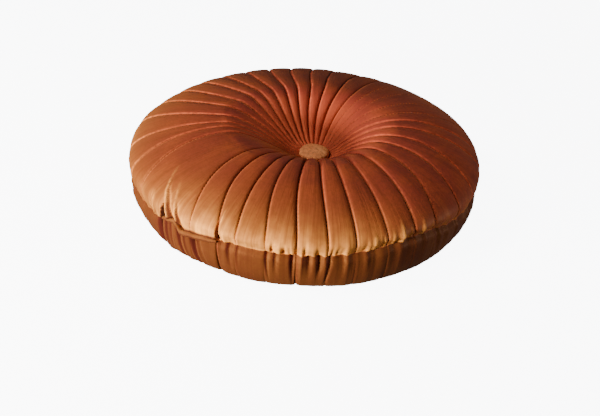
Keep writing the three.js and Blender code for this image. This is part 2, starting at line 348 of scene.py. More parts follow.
# Colours of the velvet: its darker pile, also used as painted shade; the painted highlight; the
# painted gold sheen; pale pile, used as painted light in the dip and beside the pleats; painted
# shade deep in the folds; and the tint of its gloss
DARK_PILE_AND_SHADE = (0.075, 0.012, 0.009)
HIGHLIGHT_PAINT = (1.0, 0.41, 0.085)
GOLD_SHEEN_PAINT = (0.165, 0.05, 0.0085)
OPEN_PILE_AND_LIGHT = (0.6, 0.1, 0.042)
DEEP_SHADE_PAINT = (0.012, 0.003, 0.002)
GLOSS_TINT = (1.0, 0.36, 0.06)

# Scale and detail of the velvet's noises. Streaks and bands run out from the middle
PATCHES = (26, 5)
STREAKS = (0.45, 4)
BANDS = (0.11, 2)
MOTTLE = (330, 3)
CLOUDS = (110, 3)
BREAKS = (260, 2)
FIBRES = (1400, 1)


def smooth(x, low, high):
    t = np.clip((x - low) / (high - low), 0, 1)
    return t * t * (3 - 2 * t)


def mix(a, b, t):
    return a + (b - a) * t


def seam_height(angle):
    """The seam's height at an angle in radians, eased from one row of SEAM to the next."""
    turned = (np.degrees(angle) + 180) % 360 - 180
    after = np.clip(np.searchsorted(SEAM[:, 0], turned), 1, len(SEAM) - 1)
    share = (turned - SEAM[after - 1, 0]) / (SEAM[after, 0] - SEAM[after - 1, 0])
    return mix(SEAM[after - 1, 1], SEAM[after, 1], smooth(share, 0, 1))


def crest_height(angle):
    return THICKNESS - FRONT_CREST_DROP * (1 + np.cos(angle)) / 2


class Place:
    """Where the smooth surface lies: radius, height, outward normal and distance from the seam."""

    def __init__(self, radius, height, out, up, from_seam):
        self.radius = radius
        self.height = height
        self.out = out
        self.up = up
        self.from_seam = from_seam


def side_place(height, angle):
    """The side bulges to its full radius at WIDEST_HEIGHT and curves in to the flat below."""
    down = 1 - height / WIDEST_HEIGHT
    across = (1 - down ** WALL_POWER) ** (1 / WALL_POWER)
    span = RADIUS - FLAT_RADIUS
    out = across ** (WALL_POWER - 1) / span
    up = -(down ** (WALL_POWER - 1)) / WIDEST_HEIGHT
    length = np.hypot(out, up)
    return Place(FLAT_RADIUS + span * across, height, out / length, up / length,
                 np.abs(height - seam_height(angle)))


class Band:
    """Neighbouring rows of the surface, from the middle of the back round to the button."""

    on_top = True
    shift = 0
    gather = 0
    puff = PUFF_RIM
    held = 0


class Under(Band):
    on_top = False
    held = 1
    rows = np.array([HUB_RADIUS, 25, 36, 48, 62, 85, 115, 140])[:, None]

    def place(self, angle):
        dip = 1 - smooth(self.rows, HUB_RADIUS, UNDER_DIP_RADIUS)
        height = (UNDER_SEAT_HEIGHT - 1) * dip
        return Place(self.rows, height, 0, -1, NO_SEAM_NEAR)


class Wall(Band):
    """Its rows go from 1 at the ground to almost 0 at the seam, closest together near the seam."""

    on_top = False
    eased = smooth(np.linspace(1, 0, 31)[:-1, None], -0.12, 1)
    seam_end = eased[-1] * 0.97
    rows = (eased - seam_end) / (1 - seam_end)

    def place(self, angle):
        return side_place(seam_height(angle) * (1 - self.rows), angle)


class Roll(Band):
    rows = np.linspace(0, 1, 10)[:, None]

    def place(self, angle):
        return side_place(mix(seam_height(angle), WIDEST_HEIGHT, self.rows), angle)


class Shoulder(Band):
    rows = 0.5 * np.pi * np.linspace(0, 1, 45)[1:, None] ** 1.1
    rise = np.sin(rows) ** (2 / SHOULDER_POWER)
    shift = np.sin(rows) ** SHIFT_POWER
    puff = mix(PUFF_RIM, PUFF_CREST, rise)

    def place(self, angle):
        across = np.maximum(0, np.cos(self.rows)) ** (2 / SHOULDER_POWER)
        radius = mix(CREST_RADIUS, RADIUS, across)
        height = mix(WIDEST_HEIGHT, crest_height(angle), self.rise)
        from_seam = WIDEST_HEIGHT - seam_height(angle) + SHOULDER_LENGTH * self.rows * 2 / np.pi
        return Place(radius, height, np.cos(self.rows), np.sin(self.rows), from_seam)


class Dip(Band):
    rows = np.linspace(1, 0, 33)[1:, None]
    radius = mix(HUB_RADIUS, CREST_RADIUS, rows)
    shift = 1
    gather = 1 - smooth(radius, HUB_RADIUS, CREST_RADIUS)
    puff = mix(PUFF_DIP, PUFF_CREST, rows) * smooth(rows, -0.15, 0.25)
    held = rows < 0.06

    def place(self, angle):
        slope = np.cos(0.5 * np.pi * self.rows)
        length = np.hypot(1, slope)
        height = mix(TOP_SEAT_HEIGHT, crest_height(angle), np.sin(0.5 * np.pi * self.rows))
        return Place(self.radius, height, -slope / length, 1 / length, NO_SEAM_NEAR)


def cushion_columns():
    """Pleat number and place between that pleat and the next, for each column of the surface."""
    which, shares = [], []
    for i in range(len(PLEATS)):
        turn = 360 if i == len(PLEATS) - 1 else 0
        width = PLEATS[(i + 1) % len(PLEATS), RIM] + turn - PLEATS[i, RIM]
        count = FRONT_COLUMNS if abs(PLEATS[i, RIM]) < FRONT_REACH else OTHER_COLUMNS
        if width > WIDE_PANEL:
            count = WIDE_COLUMNS
        even = np.arange(count) / count
        shares.append(even - 0.6 * np.sin(2 * np.pi * even) / (2 * np.pi))
        which.append(np.full(count, i))
    return np.concatenate(which), np.concatenate(shares)


def pleat_angles(band, which):
    """Angle of each column's pleat on each of a band's rows, in degrees."""
    pleat = PLEATS[which]
    if not band.on_top:
        return pleat[:, RIM] + 0 * band.rows
    climbed = mix(pleat[:, RIM], pleat[:, CREST], band.shift)
    return mix(climbed, pleat[:, HUB], band.gather) + 0 * band.rows


def fold_depth(folds, place, angle):
    depth = np.zeros_like(angle)
    for foot, head, run, deep, width in folds:
        along = np.clip(place.from_seam / run, 0, 1)
        middle = np.radians(mix(foot, head, along ** FOLD_BEND))
        aside = (angle - middle) * place.radius / (width * (1 - FOLD_TAPER * along))
        depth += deep * (1 - along) ** FOLD_FADE * np.exp(-aside * aside)
    return depth


def notch(place, angle):
    """How deep the gaping notch at the placket's left end is, and how much painted shade it gets, from 0
    to 1.
    """
    half = np.maximum(0.1, NOTCH_HALF * (1 - place.from_seam / NOTCH_RUN))
    aside = (np.degrees(angle) - NOTCH_ANGLE) * np.radians(place.radius) / half
    open_here = place.from_seam < NOTCH_RUN
    deep = (1 - smooth(np.abs(aside), *NOTCH_SLOPE)) * open_here
    dark = (1 - smooth(np.where(aside < 0, -aside, aside + NOTCH_LIT), *NOTCH_DARK)) * open_here
    return deep, dark


def waves(angle, seed, low, high, count):
    """A sum of waves round the cushion, between -1 and 1, with the numbers of waves given."""
    random = np.random.default_rng(seed)
    total = np.zeros_like(angle)
    for number in random.integers(low, high, count):
        total += np.sin(number * angle + random.uniform(0, 2 * np.pi))
    return total / count


def grain_of(angle, radius):
    """A place in which noise becomes streaks that run out from the middle."""
    parts = np.broadcast_arrays(RADIUS * np.sin(angle), RADIUS * np.cos(angle), 0.06 * radius)
    return np.stack(parts, axis=-1)


class Panels:
    """The panels between neighbouring pleats, on a band's grid of rows by columns.

    share goes from 0 at a panel's left pleat to 1 at its right pleat, and left and right are how
    deep those pleats are.
    """

    def __init__(self, band):
        which, self.share = cushion_columns()
        after = (which + 1) % len(PLEATS)
        start = pleat_angles(band, which)
        stop = pleat_angles(band, after) + np.where(after == 0, 360.0, 0.0)
        self.band = band
        self.angle = np.radians(mix(start, stop, self.share))
        self.degrees = np.degrees(self.angle)
        self.whole = np.ones_like(self.angle)
        self.place = band.place(self.angle)
        self.width = np.radians(stop - start) * self.place.radius
        side = TOP_SHARE if band.on_top else UNDER_SHARE
        self.left = PLEATS[which, side]
        self.right = PLEATS[after, side]

    def between(self, low, low_end, high, high_end):
        """1 between two angles, eased to 0 to both sides."""
        return smooth(self.degrees, low, low_end) * (1 - smooth(self.degrees, high, high_end))


class Relief:
    """How far the cover lies inside the cushion's full form, and what that is made of."""

    def __init__(self, panels):
        band = panels.band
        place = panels.place
        by_lip = panels.between(*LIP_RANGE)
        quilted = self.quilted(panels)
        crowded = np.exp(-(((place.radius - CROWDING_RADIUS) / CROWDING_REACH) ** 2))
        crowded = CROWDING_RISE * crowded * band.on_top
        pinch_reach = TOP_PINCH_REACH if band.on_top else UNDER_PINCH_REACH
        seam = SEAM_PINCH * np.exp(-((place.from_seam / pinch_reach) ** 1.5))
        seam = seam * (1 - LIP_HOLD * by_lip)
        folds = fold_depth(TOP_FOLDS if band.on_top else WALL_FOLDS, place, panels.angle)
        self.gathers = gather_depth(panels) * (1 - LIP_HOLD * by_lip)
        # The notch's second value is its painted shade
        notched, self.notch = notch(place, panels.angle) if band.on_top else (0, 0)
        self.folds = folds * (1 - notched)
        inwards = quilted + seam + self.folds + self.gathers + NOTCH_DEPTH * notched - crowded
        self.inwards = inwards + slack_depth(panels) * (place.from_seam < NO_SEAM_NEAR)

    def quilted(self, panels):
        """Creases at the pleats and the panels' puffed form, both less near the seam."""
        band = panels.band
        crowding = np.minimum(1, panels.width / CROWDED_WIDTH)
        reach = CREASE_WIDTH * crowding
        self.left = panels.left * np.exp(-panels.share * panels.width / reach)
        self.right = panels.right * np.exp(-(1 - panels.share) * panels.width / reach)
        depth = CREASE_DEPTH if band.on_top else UNDER_CREASE_DEPTH
        crease = depth * crowding * (self.left + self.right)
        puff = band.puff * mix(panels.left, panels.right, panels.share)
        puff = puff * np.abs(2 * panels.share - 1) ** PUFF_POWER
        grown = mix(SHARE_AT_SEAM, 1, np.minimum(1, panels.place.from_seam / SHARE_REACH))
        return grown * (crease + puff)

    def points(self, panels):
        place = panels.place
        radius = place.radius - self.inwards * place.out
        height = place.height - self.inwards * place.up
        if not panels.band.on_top:
            height = np.maximum(0, height - PRESSED_SLACK)
        shift = TUFT_X * np.minimum(1, (RADIUS - place.radius) / (RADIUS - HUB_RADIUS))
        x = radius * np.sin(panels.angle) + shift
        return np.stack([x, -radius * np.cos(panels.angle), height], axis=-1)


def gather_depth(panels):
    strength, reach = TOP_GATHERS if panels.band.on_top else WALL_GATHERS
    uneven = GATHER_MEAN + waves(panels.angle, *GATHER_SWELLS)
    gathers = waves(panels.angle, *GATHER_WAVES) * uneven
    return strength * gathers * np.exp(-panels.place.from_seam / reach)


def slack_depth(panels):
    """Long soft waves, which differ above and below the seam."""
    turned = panels.angle + (1 if panels.band.on_top else 0)
    full = np.minimum(1, panels.place.from_seam / SLACK_REACH)
    return SLACK_DEPTH * waves(turned, *SLACK_WAVES) * full


def rim_highlight(panels):
    """Where the rim has its painted highlight, near the seam on the top panel."""
    away = np.abs(panels.degrees - RIM_HIGHLIGHT_MIDDLE)
    away = np.minimum(away, 360 - away)
    highlight_amount = mix(1, RIM_HIGHLIGHT_LEAST, smooth(away, *RIM_HIGHLIGHT_FADE))
    aside = (panels.degrees - LEFT_HIGHLIGHT_ANGLE) / LEFT_HIGHLIGHT_WIDTH
    highlight_amount = highlight_amount + LEFT_HIGHLIGHT_SHARE * np.exp(-(aside ** 2))
    near_seam = np.exp(-((panels.place.from_seam / RIM_HIGHLIGHT_REACH) ** 1.5))
    return near_seam * panels.band.on_top * highlight_amount


def gold_sheen_paint(panels):
    """Where the lit front left has its painted gold sheen."""
    gold_sheen = 1 - smooth(np.abs(panels.degrees - GOLDEN_MIDDLE), *GOLDEN_FADE)
    gold_sheen = gold_sheen * np.exp(-((panels.place.from_seam / GOLDEN_REACH) ** 2))
    return gold_sheen * (1 if panels.band.on_top else GOLDEN_ON_WALL) * panels.whole


def dip_light_paint(panels):
    """Painted light on the far side of the dip."""
    band = panels.band
    dip = (1 - smooth(panels.place.radius, *DIP_FADE)) * (1 - np.cos(panels.angle)) / 2 * band.on_top
    dull = np.exp(-(((panels.degrees - DIP_DULL_ANGLE) / DIP_DULL_WIDTH) ** 2))
    return dip * (1 - DIP_DULL_SHARE * dull) * panels.whole


def far_shade_paint(panels):
    """Painted shade on the crest and shoulder behind the dip."""
    far = smooth(np.abs(panels.degrees), *FAR_ANGLES) * smooth(panels.place.radius, *FAR_RADII)
    return far * panels.band.on_top * panels.whole


def pleat_edge_light(panels):
    """Pale lines beside the pleats: pile opened on the fold and a painted highlight, brighter on the
    side of a crease that faces the light.
    """
    faces = mix(EDGE_LEAST, 1, panels.between(*EDGE_TURNS))
    before = (panels.share * panels.width - EDGE_ASIDE) / EDGE_WIDTH
    behind = ((1 - panels.share) * panels.width - EDGE_ASIDE) / EDGE_WIDTH
    edge = faces * panels.left * np.exp(-(before ** 2))
    edge = edge + (1 + EDGE_LEAST - faces) * panels.right * np.exp(-(behind ** 2))
    if not panels.band.on_top:
        return edge * EDGE_ON_WALL
    return edge * mix(1, EDGE_IN_FRONT, panels.between(*FRONT_RANGE))


def shading_slope(panels, relief):
    """How steeply the folds and gathers rise from left to right, for their painted light and shade."""
    across = np.gradient(panels.angle, axis=1) * panels.place.radius
    return -np.gradient(relief.folds + GATHER_PAINT_SHARE * relief.gathers, axis=1) / across


def shade(panels, relief):
    """Painted shade in creases, on right-facing slopes, in hollows and the notch, and above the placket.
    """
    on_top = panels.band.on_top
    slope_shading = SLOPE_PAINT * (1 if on_top else WALL_SHADE_PAINT)
    sloping = np.minimum(-slope_shading * shading_slope(panels, relief), SLOPE_SHADE)
    folded = np.maximum(sloping, HOLLOW * smooth(relief.folds, *DARK_DEPTH))
    # The line of painted shade above the placket
    line = np.exp(-((panels.place.from_seam / LIP_LINE_REACH) ** 2)) * on_top
    line = LIP_LINE_SHADE * panels.between(*LIP_LINE) * line
    creased = CREASE_SHADE * np.maximum(relief.left, relief.right)
    shaded = np.maximum(creased, np.maximum(folded, line))
    return np.maximum(shaded, HOLLOW * relief.notch) * panels.whole


def painted_highlight(panels, relief, edge):
    """Painted highlight near the seam beside the pleats, on slopes that face the light and on ridges."""
    on_top = panels.band.on_top
    near_front = 1 - smooth(np.abs(panels.degrees - GLOW_MIDDLE), *GLOW_FADE)
    pale = edge * near_front * np.exp(-((panels.place.from_seam / GLOW_REACH) ** 2)) * on_top
    sloping = np.clip(SLOPE_PAINT * shading_slope(panels, relief), 0, 1)
    pale = np.maximum(pale, sloping * (1 if on_top else WALL_GLOW))
    ridged = smooth(np.abs(panels.degrees - RIDGE_MIDDLE), *RIDGE_START) * on_top
    ridges = np.clip(-relief.folds / RIDGE_GLOW, 0, RIDGE_BRIGHTEST) * ridged
    return np.maximum(pale, ridges) * (1 - relief.notch) * panels.whole


def held_share(panels):
    """What the swelling can't move: pleats, seam, and the parts on the ground and at the button."""
    held = np.where(panels.share == 0, np.minimum(1, panels.left), 0) * panels.whole
    held = np.maximum(held, np.exp(-panels.place.from_seam / 2) > 0.6)
    return np.maximum(held, panels.band.held * panels.whole)


def band_points(band):
    """Points of a band on a grid of rows by columns, and what the material needs of them."""
    panels = Panels(band)
    relief = Relief(panels)
    edge = pleat_edge_light(panels)
    whole = panels.whole
    # Most of these facts paint light and shade for the material: shade in creases, folds, hollows and
    # behind the dip, highlights on the rim, beside the pleats and on slopes and ridges, a gold sheen at
    # the front left and light in the dip
    facts = {
        "crease": shade(panels, relief),
        "lower": (not band.on_top) * whole,
        "painted_highlight": painted_highlight(panels, relief, edge),
        "rim": rim_highlight(panels),
        "gold_sheen": gold_sheen_paint(panels),
        "far": far_shade_paint(panels),
        "held": held_share(panels),
        "loose": np.exp(-((panels.place.from_seam / EXTRA_REACH) ** 2)) * whole,
        "edge": edge * whole,
        "dip": dip_light_paint(panels),
        "line": (panels.share == 0) * whole,
        "grain": grain_of(panels.angle, panels.place.radius * whole),
    }
    return relief.points(panels), facts


def cushion_points():
    bands = [band_points(band) for band in (Under(), Wall(), Roll(), Shoulder(), Dip())]
    points = np.concatenate([band[0] for band in bands])
    facts = {key: np.concatenate([band[1][key] for band in bands]) for key in bands[0][1]}
    return points, facts


def close_ends(points, facts):
    """Adds the two flat seats' rings and their middles as rows of equal points."""
    columns = points.shape[1]
    ends = []
    for row, height in ((0, UNDER_SEAT_HEIGHT), (-1, TOP_SEAT_HEIGHT)):
        middle = np.array([TUFT_X, 0, height])
        aside = points[row] - middle
        aside[:, 2] = 0
        ring = middle + aside * SEAT_RADIUS / np.linalg.norm(aside, axis=1, keepdims=True)
        ends.append((ring[None], np.tile(middle, (1, columns, 1))))
    points = np.concatenate([ends[0][1], ends[0][0], points, ends[1][0], ends[1][1]])
    facts = {k: np.concatenate([v[:1], v[:1], v, v[-1:], v[-1:]]) for k, v in facts.items()}
    return points, facts


def grid_mesh(name, points, facts):
    """A closed mesh from a grid that goes round, whose first and last rows are single points."""
    rows, columns = points.shape[:2]
    inner = points[1:-1].reshape(-1, 3)
    vertices = np.concatenate([points[0, :1], inner, points[-1, :1]]) * 0.001
    faces = []
    last = len(vertices) - 1
    for i in range(columns):
        j = (i + 1) % columns
        faces.append((0, 1 + j, 1 + i))
        for r in range(rows - 3):
            a = 1 + r * columns
            b = a + columns
            faces.append((a + i, a + j, b + j, b + i))
        top = 1 + (rows - 3) * columns
        faces.append((top + i, top + j, last))
    mesh = bpy.data.meshes.new(name)
    mesh.from_pydata(vertices.tolist(), [], faces)
    mesh.update()
    for key, values in facts.items():
        inner = values[1:-1].reshape(-1, *values.shape[2:])
        flat = np.concatenate([values[0, :1], inner, values[-1, :1]])
        many = values.ndim == 3
        layer = mesh.attributes.new(key, "FLOAT_VECTOR" if many else "FLOAT", "POINT")
        layer.data.foreach_set("vector" if many else "value", flat.astype(np.float32).ravel())
    mesh.shade_smooth()
    piece = bpy.data.objects.new(name, mesh)
    bpy.context.scene.collection.objects.link(piece)
    return piece


def spread(values, kept, count):
    """Values known at the kept rows, eased to all the rows between them."""
    place = np.arange(count)
    after = np.clip(np.searchsorted(kept, place), 1, len(kept) - 1)
    share = ((place - kept[after - 1]) / (kept[after] - kept[after - 1]))[:, None, None]
    return mix(values[after - 1], values[after], share)


def add_group(piece, name, attribute_name):
    """A vertex group with the values of one of the mesh's attributes, in steps of a tenth."""
    group = piece.vertex_groups.new(name=name)
    weights = np.zeros(len(piece.data.vertices), np.float32)
    piece.data.attributes[attribute_name].data.foreach_get("value", weights)
    weights = np.round(weights, 1)
    for weight in np.unique(weights[weights > 0]):
        group.add(np.flatnonzero(weights == weight).tolist(), float(weight), "REPLACE")


def swell(points, facts):
    """How far the filled cover swells between its stitched lines, in millimetres.

    A cloth with every other row and column of the surface is blown up from inside. Its pleats,
    its seam and the parts under the buttons and on the ground are held.
    """
    rows, columns = points.shape[:2]
    kept_rows = np.unique(np.concatenate([[0, 1], np.arange(2, rows - 2, 2), [rows - 2, rows - 1]]))
    kept_columns = np.arange(0, columns + 1, 2)
    grid = points[kept_rows][:, kept_columns[:-1]]
    coarse = {key: facts[key][kept_rows][:, kept_columns[:-1]] for key in ("held", "loose")}
    piece = grid_mesh("swelling", grid, coarse)
    add_group(piece, "held", "held")
    add_group(piece, "loose", "loose")
    cloth = piece.modifiers.new("cloth", "CLOTH")
    cloth.settings.quality = 5
    cloth.settings.mass = CLOTH_MASS
    cloth.settings.tension_stiffness = PULLING
    cloth.settings.compression_stiffness = PULLING
    cloth.settings.shear_stiffness = SHEARING
    cloth.settings.bending_stiffness = BENDING
    cloth.settings.use_pressure = True
    cloth.settings.uniform_pressure_force = PRESSURE
    cloth.settings.shrink_min = 0
    cloth.settings.shrink_max = -EXTRA_AT_SEAM
    cloth.settings.vertex_group_shrink = "loose"
    cloth.settings.vertex_group_mass = "held"
    cloth.settings.effector_weights.gravity = 0
    cloth.point_cache.frame_start = 1
    cloth.point_cache.frame_end = SWELL_FRAMES
    scene = bpy.context.scene
    for number in range(1, SWELL_FRAMES + 1):
        scene.frame_set(number)
    shaped = piece.evaluated_get(bpy.context.evaluated_depsgraph_get()).to_mesh()
    after = np.zeros(len(shaped.vertices) * 3, np.float32)
    shaped.vertices.foreach_get("co", after)
    before = np.zeros(len(piece.data.vertices) * 3, np.float32)
    piece.data.vertices.foreach_get("co", before)
    scene.frame_set(1)
    bpy.data.objects.remove(piece)
    moved = (after - before).reshape(-1, 3) * 1000
    far = np.linalg.norm(moved, axis=1, keepdims=True)
    moved *= np.minimum(1, SWELL_CAP / np.maximum(far, 1e-6))
    ends = [np.tile(moved[end], (1, grid.shape[1], 1)) for end in (0, -1)]
    moved = np.concatenate([ends[0], moved[1:-1].reshape(-1, grid.shape[1], 3), ends[1]])
    moved = spread(moved, kept_rows, rows)
    around = np.concatenate([moved, moved[:, :1]], axis=1).transpose(1, 0, 2)
    return spread(around, kept_columns, columns).transpose(1, 0, 2)


def paint_lower(piece):
    """Gives the faces of the lower panel the piece's second material."""
    mesh = piece.data
    lower = np.zeros(len(mesh.vertices), np.float32)
    mesh.attributes["lower"].data.foreach_get("value", lower)
    slots = [int(all(lower[v] > 0.5 for v in face.vertices)) for face in mesh.polygons]
    mesh.polygons.foreach_set("material_index", slots)


def stitch_points(points, facts):
    """The corners of every stitch: six round its middle and one at each end."""
    line = np.flatnonzero(facts["line"][0] > 0)
    on_top = facts["lower"][:, 0] < 0.5
    corners = []
    for column in line:
        path = points[on_top, column]
        aside = points[on_top, (column + 3) % points.shape[1]] - points[on_top, column - 3]
        length = np.concatenate([[0], np.cumsum(np.linalg.norm(np.diff(path, axis=0), axis=1))])
        places = np.arange(STITCH_FREE, length[-1] - 2 * STITCH_FREE, STITCH_PITCH)
        start = sample(path, length, places - STITCH / 2)
        stop = sample(path, length, places + STITCH / 2)
        across = unit(sample(aside, length, places))
        ahead = unit(stop - start)
        out = unit(np.cross(across, ahead))
        middle = (start + stop) / 2 + THREAD * out
        across = np.cross(ahead, out)
        ring = [middle + THREAD * (0.6 * math.cos(t) * across + 0.5 * math.sin(t) * out)
                for t in np.linspace(0, 2 * np.pi, 7)[:-1]]
        corners.append(np.stack([start] + ring + [stop], axis=1))
    return np.concatenate(corners)


def sample(values, length, places):
    return np.stack([np.interp(places, length, values[:, k]) for k in range(3)], axis=-1)


def unit(vectors):
    return vectors / np.maximum(np.linalg.norm(vectors, axis=-1, keepdims=True), 1e-9)


def make_stitches(points, facts):
    corners = stitch_points(points, facts)
    faces = []
    for base in range(0, len(corners) * 8, 8):
        for k in range(6):
            a, b = base + 1 + k, base + 1 + (k + 1) % 6
            faces.append((base, b, a))
            faces.append((base + 7, a, b))
    mesh = bpy.data.meshes.new("stitches")
    mesh.from_pydata((corners.reshape(-1, 3) * 0.001).tolist(), [], faces)
    mesh.update()
    mesh.shade_smooth()
    piece = bpy.data.objects.new("stitches", mesh)
    bpy.context.scene.collection.objects.link(piece)
    return piece


def dome_points(centre_height, facing):
    """A covered button's dome as a grid of rows by columns, with the cloth's small gathers."""
    columns = 96
    around = np.linspace(0, 2 * np.pi, columns, endpoint=False)
    edge = 0.42 * BUTTON_RISE
    profile = [(0, 0), (6, 0), (12.4, 0.05), (13.8, 0.25), (14.7, 0.9), (BUTTON_RADIUS, 2)]
    for degrees in np.linspace(0, 90, 22)[:-1]:
        turn = math.radians(degrees)
        profile.append((BUTTON_RADIUS * math.cos(turn), mix(edge, BUTTON_RISE, math.sin(turn))))
    profile.append((0, BUTTON_RISE))
    profile = np.array(profile)
    radius = profile[:, :1]
    height = profile[:, 1:]
    rim = smooth(radius, 6, 15)
    gathers = 0.22 * rim * (np.sin(19 * around) + 0.7 * np.sin(31 * around + 1))
    dents = 0.5 * np.sin(2 * around + radius / 4) * smooth(height, 3, 8) * smooth(radius, 0, 5)
    radius = radius - gathers * (height > 0.5)
    height = height + dents * (radius > 0)
    gathered = 0.35 * np.sin(5 * around + 1.4 * np.sin(2 * around) + radius / 3)
    height = height + gathered * smooth(height, 3, 8) * smooth(radius, 1, 6)
    x = radius * np.cos(around)
    y = radius * np.sin(around) * facing
    z = centre_height + facing * height
    points = np.stack([x + TUFT_X, y, z * np.ones_like(x)], axis=-1)
    return points, {"grain": grain_of(around, 4 * radius)}


def lip_points():
    """The placket's folded edge, as rows round its section and columns along its length."""
    steps = 120
    place = np.linspace(0, len(LIP) - 1, steps)
    angle, above, tall, out = (np.interp(place, np.arange(len(LIP)), LIP[:, k]) for k in range(4))
    angle = np.radians(angle)
    out = out * (1 + LIP_UNEVEN * waves(angle, *LIP_WAVES))
    turn = np.linspace(-0.5 * np.pi, 0.5 * np.pi, 15)
    back = [(0.12, 0.3), (0.12, 0), (0.12, -0.3)]
    section = np.array([(math.cos(t), 0.5 * math.sin(t)) for t in turn] + back)
    radius = RADIUS + TOUCH_GAP - LIP_BACK_INSET + out * section[:, :1]
    middle = seam_height(angle) + above - tall / 2
    height = middle + tall * section[:, 1:]
    points = np.stack([radius * np.sin(angle), -radius * np.cos(angle), height * np.ones_like(radius)],
                      axis=-1)
    return np.transpose(points, (1, 0, 2))[::-1]


def capped_grid(name, points):
    first = points[0].mean(axis=0)
    last = points[-1].mean(axis=0)
    columns = points.shape[1]
    grid = np.concatenate([np.tile(first, (1, columns, 1)), points, np.tile(last, (1, columns, 1))])
    # The lip's upper side gets a little of the rim's painted highlight
    upper = smooth(grid[..., 2] - grid[..., 2].mean(axis=1, keepdims=True), -0.4, 1.8)
    return grid_mesh(name, grid, {"grain": grid * 0.5, "rim": mix(0, 0.1, upper)})


def new_material(name):
    material = bpy.data.materials.new(name)
    material.use_nodes = True
    tree = material.node_tree
    return material, tree, tree.nodes["Principled BSDF"]


def attribute(tree, name):
    node = tree.nodes.new("ShaderNodeAttribute")
    node.attribute_name = name
    return node


def noise(tree, vector, scale, detail):
    node = tree.nodes.new("ShaderNodeTexNoise")
    node.inputs["Scale"].default_value = scale
    node.inputs["Detail"].default_value = detail
    tree.links.new(vector, node.inputs["Vector"])
    return node.outputs["Fac"]


def ranged(tree, value, low, high, start, stop):
    node = tree.nodes.new("ShaderNodeMapRange")
    node.inputs["From Min"].default_value = low
    node.inputs["From Max"].default_value = high
    node.inputs["To Min"].default_value = start
    node.inputs["To Max"].default_value = stop
    tree.links.new(value, node.inputs["Value"])
    return node.outputs["Result"]


def multiplied(tree, first, second):
    node = tree.nodes.new("ShaderNodeMath")
    node.operation = "MULTIPLY"
    tree.links.new(first, node.inputs[0])
    tree.links.new(second, node.inputs[1])
    return node.outputs["Value"]


def blended(tree, first, second, factor):
    """Colour mix. first and second are colours or sockets."""
    node = tree.nodes.new("ShaderNodeMix")
    node.data_type = "RGBA"
    for name, value in (("A", first), ("B", second)):
        socket = node.inputs[name]
        if isinstance(value, bpy.types.NodeSocket):
            tree.links.new(value, socket)
        else:
            socket.default_value = (*value, 1)
    tree.links.new(factor, node.inputs["Factor"])
    return node.outputs["Result"]


def fact(tree, name):
    return attribute(tree, name).outputs["Fac"]


def pile_color_and_painted_light(tree, place, patches, streaks, bands, base, light):
    """The velvet's colour: patches, streaks and mottling, then painted light and shade by place."""
    mottle = noise(tree, place, *MOTTLE)
    broken = ranged(tree, noise(tree, place, *BREAKS), 0.4, 0.6, 0.35, 1)
    highlight_amount = multiplied(tree, ranged(tree, streaks, 0.35, 0.65, 1.15, 0.6),
                         ranged(tree, bands, 0.35, 0.65, 1.15, 0.6))
    highlight_amount = multiplied(tree, highlight_amount, ranged(tree, noise(tree, place, *CLOUDS), 0.35, 0.65, 0.7, 1.15))
    crease = fact(tree, "crease")
    # After the random tones come painted light and shade: light in the dip, shade behind it, a gold
    # sheen at the front left, highlights on the rim, beside the pleats and on slopes and ridges, and
    # shade in creases, folds and hollows, near black in the deepest
    tones = [
        (light, ranged(tree, patches, 0.42, 0.7, 0, 1)),
        (DARK_PILE_AND_SHADE, ranged(tree, streaks, 0.5, 0.75, 0, 0.3)),
        (DARK_PILE_AND_SHADE, ranged(tree, bands, 0.48, 0.7, 0, 0.3)),
        (DARK_PILE_AND_SHADE, ranged(tree, mottle, 0.42, 0.68, 0, 0.35)),
        (OPEN_PILE_AND_LIGHT, ranged(tree, fact(tree, "dip"), 0, 1, 0, 0.65)),
        (DARK_PILE_AND_SHADE, ranged(tree, fact(tree, "far"), 0, 1, 0, 0.5)),
        (GOLD_SHEEN_PAINT, ranged(tree, fact(tree, "gold_sheen"), 0, 1, 0, 0.8)),
        (HIGHLIGHT_PAINT, multiplied(tree, fact(tree, "rim"), highlight_amount)),
        (OPEN_PILE_AND_LIGHT, multiplied(tree, fact(tree, "edge"), broken)),
        (HIGHLIGHT_PAINT, multiplied(tree, fact(tree, "painted_highlight"), broken)),
        (DARK_PILE_AND_SHADE, ranged(tree, crease, 0.3, 1.25, 0, 0.96)),
        (DEEP_SHADE_PAINT, ranged(tree, crease, 1.25, 2, 0, 0.9)),
    ]
    color = base
    for tone, amount in tones:
        color = blended(tree, color, tone, amount)
    return color


def bump(tree, height, strength, distance):
    node = tree.nodes.new("ShaderNodeBump")
    node.inputs["Strength"].default_value = strength
    node.inputs["Distance"].default_value = distance
    tree.links.new(height, node.inputs["Height"])
    return node


